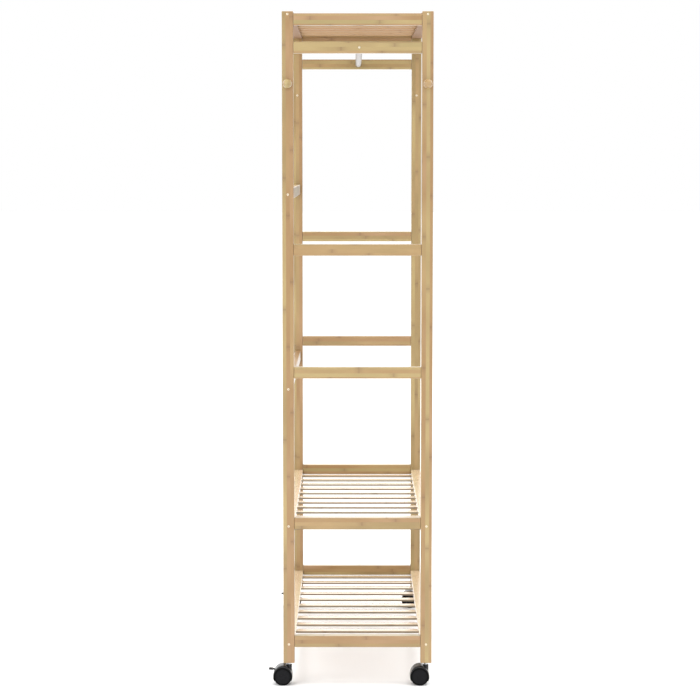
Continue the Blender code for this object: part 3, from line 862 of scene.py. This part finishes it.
# A tyre and the disc inside it. The tyre's ring is a softened rectangle of radius and width; the disc is a
# shallow cone with a hub, and a small dimple, depth exp(-(distance / size)^2), sits beside the hub.
def buildWheel(caster, end, way, look):
    node = f"{caster}_wheel_{end}"
    low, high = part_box(node)
    radius, width = (high.z - low.z) / 2, high.y - low.y
    inner = low.y if way > 0 else high.y
    centre = ((low.x + high.x) / 2, inner, (low.z + high.z) / 2)
    seat = radius - look["tyre"]
    c = look["chamfer"]
    ring = [
        (seat, 0.4 * mm), (radius - c, 0), (radius, c), (radius, width - c), (radius - c, width),
        (seat + 0.5 * mm, width), (seat, width - look["dish"]), (seat, 0.4 * mm),
    ]
    tyre = turned(softened(ring, 0.5 * mm, 4)[:-1], centre, "Y", way, look["steps"], ring=True)
    face = width - look["dish"]
    bore, deep = look["bore"], look["boreDepth"]
    disc = softened(
        [
            (0, face + look["hubProud"] - 0.25 * mm), (look["cap"], face + look["hubProud"] - 0.25 * mm),
            (look["cap"] + 0.3 * mm, face + look["hubProud"]), (look["hub"], face + look["hubProud"]),
            (look["hub"] + 0.5 * mm, face - look["cone"]), (seat + 0.2 * mm, face),
            (seat + 0.2 * mm, 0.6 * mm), (bore + 2.0 * mm, 0.6 * mm), (bore + 1.6 * mm, 0.05 * mm),
            (bore, 0.05 * mm), (bore, deep), (0, deep),
        ],
        0.25 * mm, 4,
    )
    gateRadius = (look["hub"] + seat) / 2

    def dimple(radii, heights, angle):
        away = np.hypot(radii * np.cos(angle) - gateRadius, radii * np.sin(angle))
        mark = look["gate"] * np.exp(-(away / look["gateSize"]) ** 2) * (heights > width / 2)
        return radii, heights - mark

    extra = np.linspace(look["hub"] + 0.9 * mm, seat - 0.4 * mm, 16)
    cut = int(np.argmax(disc[:, 0] > look["hub"] + 0.8 * mm))
    slope = face - look["cone"] * (seat - extra) / (seat - look["hub"])
    disc = np.concatenate([disc[:cut], np.stack([extra, slope], axis=1), disc[cut:]])
    plate = turned(disc, centre, "Y", way, look["steps"], number=1, bulge=dimple)
    wheel = buildPiece(f"{node}_tyre_and_disc", [tyre, plate], [tyreNylon, discNylon])
    finishPiece(wheel, f"{node}_turning", "wheel_nylon", node)


stemSet = {"radius": 4.0 * mm, "collar": 6.0 * mm, "collarHeight": 1.4 * mm, "gap": 0.3 * mm}


def buildStem(caster, look):
    low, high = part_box(f"{caster}_stem")
    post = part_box(caster.replace("caster", "post"))[0].z
    spot = middle(f"{caster}_stem")
    collarTop = post - look["gap"]
    collarFoot = collarTop - look["collarHeight"]
    corners = [
        (0, high.z), (look["radius"] - 0.8 * mm, high.z), (look["radius"], high.z - 1.4 * mm),
        (look["radius"], collarTop), (look["collar"], collarTop), (look["collar"], collarFoot),
        (look["radius"], collarFoot), (look["radius"], low.z + 0.8 * mm), (look["radius"] - 0.8 * mm, low.z),
        (0, low.z),
    ]
    shell = turned(softened(corners, 0.3 * mm, 4), (spot.x, spot.y, 0), "Z", steps=48)
    finishPiece(buildPiece(f"{caster}_stem_pin", [shell], [plainSteel]), caster, "steel", f"{caster}_stem")


leverSet = {
    "crown": 2.4 * mm,
    "half": 1.5 * mm,  # half its thickness
    "tongue": 2.85 * mm,  # half widths
    "pedal": 9.0 * mm,
    "pedalGap": 1.8 * mm,
    "flare": 3.0 * mm,
    "tip": 3.0 * mm,
    "ridge": 0.22 * mm,
    "ridgePitch": 1.7 * mm,
    "eye": 3.0 * mm,
    "eyeRound": 0.4 * mm,
    "bore": 1.55 * mm,
    "rows": 90,
    "columns": 40,
    "sharpFrom": 40,
}


# The lever's middle line rises as crown (1 - (1 - u / length)^2). Its half width goes by a smooth step from
# the tongue's to the pedal's and closes in a round tip, and its section is a superellipse. Ridges,
# max(0, cos)^2, cross the pedal's top.
def leverShell(pivot, length, start, look):
    u = np.linspace(0, 1, look["rows"]) ** 0.9 * length
    s = np.clip((u - start) / look["flare"], 0, 1)
    width = look["tongue"] + (look["pedal"] - look["tongue"]) * s * s * (3 - 2 * s)
    toTip = np.clip((length - u) / look["tip"], 0, 1)
    close = np.sqrt(np.maximum(1 - (1 - toTip) ** 2, 0.0))
    width = width - look["tip"] * (1 - close)
    half = look["half"] * (0.35 + 0.65 * close) * (1 - 0.25 * s)
    rise = look["crown"] * (1 - (1 - u / length) ** 2)
    t = np.linspace(0, 2 * math.pi, look["columns"], endpoint=False)[None, :]
    across = np.sign(np.cos(t)) * np.abs(np.cos(t)) ** (2 / 5)
    over = np.sign(np.sin(t)) * np.abs(np.sin(t)) ** (2 / 3)
    pastFlare = np.clip((u - start - look["flare"]) / mm, 0, 1)
    beforeTip = np.clip((length - look["tip"] / 2 - u) / mm, 0, 1)
    onPedal = pastFlare * beforeTip
    ridges = look["ridge"] * onPedal * np.maximum(0, np.cos(2 * math.pi * u / look["ridgePitch"])) ** 2
    z = rise[:, None] + half[:, None] * over + ridges[:, None] * (over > 0.5) * (1 - np.abs(across) ** 6)
    y = width[:, None] * across
    x = -np.repeat(u[:, None], t.shape[1], axis=1)
    return loft(np.stack([x, y, z], axis=-1) + np.asarray(pivot))


def buildLever(end, look):
    low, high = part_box(f"brake_lever_{end}")
    pivot = middle(f"brake_pin_{end}")
    hoodLow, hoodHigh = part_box(f"caster_back_{end}_hood")
    wheel = middle(f"caster_back_{end}_wheel_left")
    side, crown = wheel.x - hoodLow.x, hoodHigh.z - wheel.z
    hoodBack = wheel.x - side * math.sqrt(1 - ((pivot.z - wheel.z) / crown) ** 2)
    start = pivot.x - hoodBack + look["pedalGap"]
    arm = leverShell(pivot, pivot.x - low.x, start, look)
    lever = buildPiece(f"brake_lever_{end}_pedal", [arm], [leverNylon])
    eye = softened(cylinderProfile(look["eye"], look["eye"]), look["eyeRound"])
    cutWith(lever, plainShell(eye, pivot, "Y", 36), "UNION")
    cutWith(lever, plainShell(cylinderProfile(look["bore"], 2 * look["eye"]), pivot, "Y", 24), "DIFFERENCE")
    tidyMesh(lever.data, look["sharpFrom"])
    finishPiece(lever, f"brake_{end}", "black_nylon", f"brake_lever_{end}")


for caster in casters:
    buildHood(caster, "back" in caster, casterSet)
    buildStem(caster, stemSet)
    for end, way in ends.items():
        buildWheel(caster, end, way, wheelSet)
for end in ends:
    buildLever(end, leverSet)
print("casters made:", len(casters))


floorSet = {"half": 40.0, "colour": (0.81, 0.81, 0.81), "cloudColour": (0.83, 0.83, 0.83), "cloudScale": 3.0}


# A flat floor, a little mottled in tone.
def buildFloor():
    half = floorSet["half"]
    corners = [(-half, -half, 0), (half, -half, 0), (half, half, 0), (-half, half, 0)]
    mesh = bpy.data.meshes.new("studio_floor")
    mesh.from_pydata(corners, [], [(0, 1, 2, 3)])
    floor = bpy.data.objects.new("studio_floor", mesh)
    bpy.context.scene.collection.objects.link(floor)
    finish = Finish("floor_paper", Roughness=0.9, Specular_IOR_Level=0.0)
    x, y, z = finish.place()
    cloud = finish.noise(finish.vector(x, y, z), scale=floorSet["cloudScale"])
    tone = finish.blend(cloud, floorSet["colour"], floorSet["cloudColour"])
    mesh.materials.append(finish.set(Base_Color=tone))


buildFloor()

lightSet = {
    "seen": 1.0,  # the backdrop
    "level": 0.25,
    "above": 1.20,
    "band": 1.35,  # a bright ring of wall above the horizon
    "bandLow": (0.0, 0.06),  # sines of the elevations where it fades in, and out
    "bandHigh": (0.62, 0.40),
}


# The studio round the object: level below and at the horizon, brighter straight up, with a bright band of
# wall all round that polished tops mirror at a grazing angle. The camera sees an even white in its place.
def buildWorld():
    room = Studio("studio")
    bpy.context.scene.world = room.world
    way = room.node("ShaderNodeTexCoord", output="Generated")
    z = room.node("ShaderNodeSeparateXYZ", None, (way,), "Z")
    band = z.step(*lightSet["bandLow"]) * z.step(*lightSet["bandHigh"])
    lit = lightSet["level"] + lightSet["above"] * z.step(0.0, 1.0) + lightSet["band"] * band
    white = (1.0, 1.0, 1.0, 1.0)
    light = room.node("ShaderNodeBackground", None, {"Color": white, "Strength": lit})
    seen = room.node("ShaderNodeBackground", None, {"Color": white, "Strength": lightSet["seen"]})
    camera = room.node("ShaderNodeLightPath", output="Is Camera Ray")
    both = room.node("ShaderNodeMixShader", None, (camera, light, seen))
    room.join(room.tree.nodes["World Output"].inputs["Surface"], both)


softboxSet = {
    "overhead_softbox": {
        "place": (0.0, 0.3, 6.0),
        "aim": (0.0, 0.0, 0.0),
        "size": (5.0, 5.0),
        "power": 350.0,
        "mirrored": False,  # polished faces don't mirror it
    },
    "left_softbox": {
        "place": (-2.6, -2.4, 2.0),
        "aim": (0.0, 0.0, 0.7),
        "size": (1.6, 2.0),
        "power": 20.0,
        "mirrored": True,
    },
}


def addAreaLight(name, look):
    data = bpy.data.lights.new(name, "AREA")
    data.shape = "RECTANGLE"
    data.size, data.size_y = look["size"]
    data.energy = look["power"]
    light = bpy.data.objects.new(name, data)
    light.location = look["place"]
    light.visible_camera = False
    light.visible_glossy = look["mirrored"]
    way = np.array(look["aim"]) - np.array(look["place"])
    light.rotation_euler = Vector(way).to_track_quat("-Z", "Y").to_euler()
    bpy.context.scene.collection.objects.link(light)


buildWorld()
for name, look in softboxSet.items():
    addAreaLight(name, look)

cameraSet = {
    "place": (0.0063, -4.7986, 1.1753),
    "pitch": -4.848,
    "turn": 0.0853,
    "lens": 102.68,
    "shift": -0.03,
    "sensor": 36.0,
}


def buildCamera():
    data = bpy.data.cameras.new("camera")
    data.sensor_width = cameraSet["sensor"]
    data.lens = cameraSet["lens"]
    data.shift_y = cameraSet["shift"]
    data.clip_start, data.clip_end = 0.05, 200.0
    camera = bpy.data.objects.new("camera", data)
    camera.location = cameraSet["place"]
    camera.rotation_euler = (math.radians(90 + cameraSet["pitch"]), 0.0, math.radians(cameraSet["turn"]))
    bpy.context.scene.collection.objects.link(camera)
    bpy.context.scene.camera = camera


buildCamera()
print("floor, light and camera set")

bpy.context.view_layer.update()
